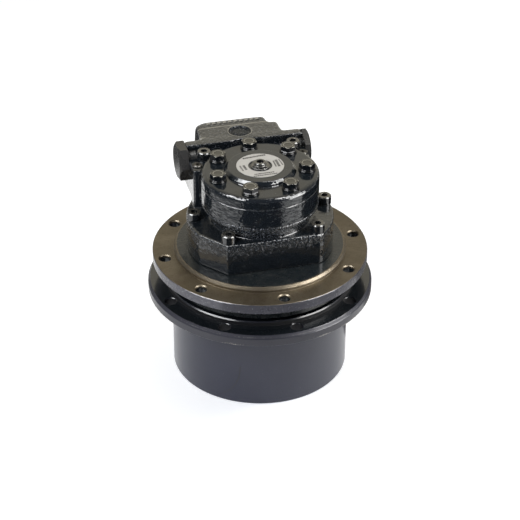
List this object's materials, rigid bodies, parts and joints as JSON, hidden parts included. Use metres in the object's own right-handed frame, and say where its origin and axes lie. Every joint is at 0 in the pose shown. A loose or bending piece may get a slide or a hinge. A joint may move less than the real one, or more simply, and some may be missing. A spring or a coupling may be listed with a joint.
{
  "type": "excavator final drive",
  "caption": "Tracked-excavator travel final drive: hydraulic motor and planetary gear train with a turning sprocket hub and a bolted frame flange.",
  "frame": {"origin": "on the hub axis, in the plane of the hub's lower rim", "axes": "+Z along the hub axis towards the hydraulic motor, +Y towards the valve block, +X to the right seen from the flat front of the motor plate"},
  "size_m": [0.21, 0.21, 0.2121],
  "materials": {
    "hub_paint": "satin blue-black paint over machined iron, worn bright on the flange edge",
    "flange_iron": "bare machined face, painted rim",
    "casting_paint": "gloss black paint over rough casting",
    "bolt_paint": "gloss black painted steel",
    "screw_black": "black oxide steel",
    "washer_steel": "steel with bonded rubber lip",
    "label_white": "matt white foil",
    "plug_steel": "dark plated steel",
    "cover_iron": "black paint over cast iron",
    "spring_steel": "phosphated spring steel",
    "bush_bronze": "bearing bronze",
    "seal_rubber": "nitrile rubber",
    "machined_steel": "ground gear steel"
  },
  "bodies": {
    "frame_side": {"spindle_frame_flange": "flange_iron", "motor_body": "casting_paint", "body_screws": "screw_black", "body_screws_long": "screw_black", "roller_ring": "casting_paint", "rollers": "machined_steel", "rotor": "machined_steel", "drive_link": "machined_steel", "motor_cover": "casting_paint", "cover_bolts": "bolt_paint", "cover_washers": "washer_steel", "cover_label": "label_white", "centre_plug": "plug_steel", "stack_o_rings": "seal_rubber", "body_o_ring": "seal_rubber", "gallery_plugs": "plug_steel", "ledge_plugs": "plug_steel", "valve_plug_left": "casting_paint", "valve_plug_right": "casting_paint", "valve_plug_o_rings": "seal_rubber", "relief_spring_left": "spring_steel", "relief_spring_right": "spring_steel", "bearing_inner_rings": "machined_steel", "bearing_balls": "machined_steel", "bearing_locknut": "machined_steel", "face_seal_ring_upper": "machined_steel", "face_seal_rubber_upper": "seal_rubber", "stage_two_pins": "machined_steel", "stage_two_bushes": "bush_bronze", "stage_two_thrust_washers": "bush_bronze", "shaft_bearing_outer": "machined_steel", "shaft_bearing_balls": "machined_steel", "shaft_bearing_clip": "spring_steel", "shaft_seal": "seal_rubber"},
    "hub": {"drum_hub": "hub_paint", "bearing_outer_rings": "machined_steel", "face_seal_ring_lower": "machined_steel", "face_seal_rubber_lower": "seal_rubber", "end_cover": "cover_iron", "end_cover_o_ring": "seal_rubber", "retaining_ring": "spring_steel", "oil_plugs": "plug_steel", "thrust_button": "machined_steel"},
    "stage_one_carrier_body": {"stage_one_carrier": "machined_steel", "stage_two_sun": "machined_steel", "stage_one_pins": "machined_steel", "stage_one_bushes": "bush_bronze", "stage_one_thrust_washers": "bush_bronze"},
    "input_shaft": {"stage_one_sun_shaft": "machined_steel", "motor_shaft": "machined_steel", "shaft_bearing_inner": "machined_steel"},
    "poppet_left": {"relief_poppet_left": "machined_steel"},
    "poppet_right": {"relief_poppet_right": "machined_steel"},
    "stage_one_gear_1": {"stage_one_planet_1": "machined_steel"},
    "stage_one_gear_2": {"stage_one_planet_2": "machined_steel"},
    "stage_one_gear_3": {"stage_one_planet_3": "machined_steel"},
    "stage_two_gear_1": {"stage_two_planet_1": "machined_steel"},
    "stage_two_gear_2": {"stage_two_planet_2": "machined_steel"},
    "stage_two_gear_3": {"stage_two_planet_3": "machined_steel"},
    "stage_two_gear_4": {"stage_two_planet_4": "machined_steel"}
  },
  "joints": [
    {"name": "hub_spin", "type": "hinge", "parent": "frame_side", "child": "hub", "pos_m": [0, 0, 0.05], "axis": [0, 0, 1], "continuous": true},
    {"name": "input_spin", "type": "hinge", "parent": "frame_side", "child": "input_shaft", "pos_m": [0, 0, 0.1], "axis": [0, 0, 1], "continuous": true},
    {"name": "carrier_spin", "type": "hinge", "parent": "frame_side", "child": "stage_one_carrier_body", "pos_m": [0, 0, 0.035], "axis": [0, 0, 1], "continuous": true},
    {"name": "stage_two_gear_1_spin", "type": "hinge", "parent": "frame_side", "child": "stage_two_gear_1", "pos_m": [0.045, 0, 0.048], "axis": [0, 0, 1], "continuous": true},
    {"name": "stage_two_gear_2_spin", "type": "hinge", "parent": "frame_side", "child": "stage_two_gear_2", "pos_m": [0, 0.045, 0.048], "axis": [0, 0, 1], "continuous": true},
    {"name": "stage_two_gear_3_spin", "type": "hinge", "parent": "frame_side", "child": "stage_two_gear_3", "pos_m": [-0.045, 0, 0.048], "axis": [0, 0, 1], "continuous": true},
    {"name": "stage_two_gear_4_spin", "type": "hinge", "parent": "frame_side", "child": "stage_two_gear_4", "pos_m": [0, -0.045, 0.048], "axis": [0, 0, 1], "continuous": true},
    {"name": "stage_one_gear_1_spin", "type": "hinge", "parent": "stage_one_carrier_body", "child": "stage_one_gear_1", "pos_m": [0.0412, 0.00196, 0.022], "axis": [0, 0, 1], "continuous": true},
    {"name": "stage_one_gear_2_spin", "type": "hinge", "parent": "stage_one_carrier_body", "child": "stage_one_gear_2", "pos_m": [-0.0223, 0.0347, 0.022], "axis": [0, 0, 1], "continuous": true},
    {"name": "stage_one_gear_3_spin", "type": "hinge", "parent": "stage_one_carrier_body", "child": "stage_one_gear_3", "pos_m": [-0.0189, -0.03666, 0.022], "axis": [0, 0, 1], "continuous": true},
    {"name": "relief_left_lift", "type": "slide", "parent": "frame_side", "child": "poppet_left", "axis": [-1, 0, 0], "range_m": [0, 0.0025], "stiffness_N_per_m": 4000, "springref_m": -0.003, "deforming": ["relief_spring_left"]},
    {"name": "relief_right_lift", "type": "slide", "parent": "frame_side", "child": "poppet_right", "axis": [1, 0, 0], "range_m": [0, 0.0025], "stiffness_N_per_m": 4000, "springref_m": -0.003, "deforming": ["relief_spring_right"]}
  ],
  "couplings": [
    {"joint": "input_spin", "follows": "hub_spin", "ratio": -21},
    {"joint": "carrier_spin", "follows": "hub_spin", "ratio": -3},
    {"joint": "stage_two_gear_1_spin", "follows": "hub_spin", "ratio": 3},
    {"joint": "stage_two_gear_2_spin", "follows": "hub_spin", "ratio": 3},
    {"joint": "stage_two_gear_3_spin", "follows": "hub_spin", "ratio": 3},
    {"joint": "stage_two_gear_4_spin", "follows": "hub_spin", "ratio": 3},
    {"joint": "stage_one_gear_1_spin", "follows": "hub_spin", "ratio": 10.286},
    {"joint": "stage_one_gear_2_spin", "follows": "hub_spin", "ratio": 10.286},
    {"joint": "stage_one_gear_3_spin", "follows": "hub_spin", "ratio": 10.286}
  ]
}
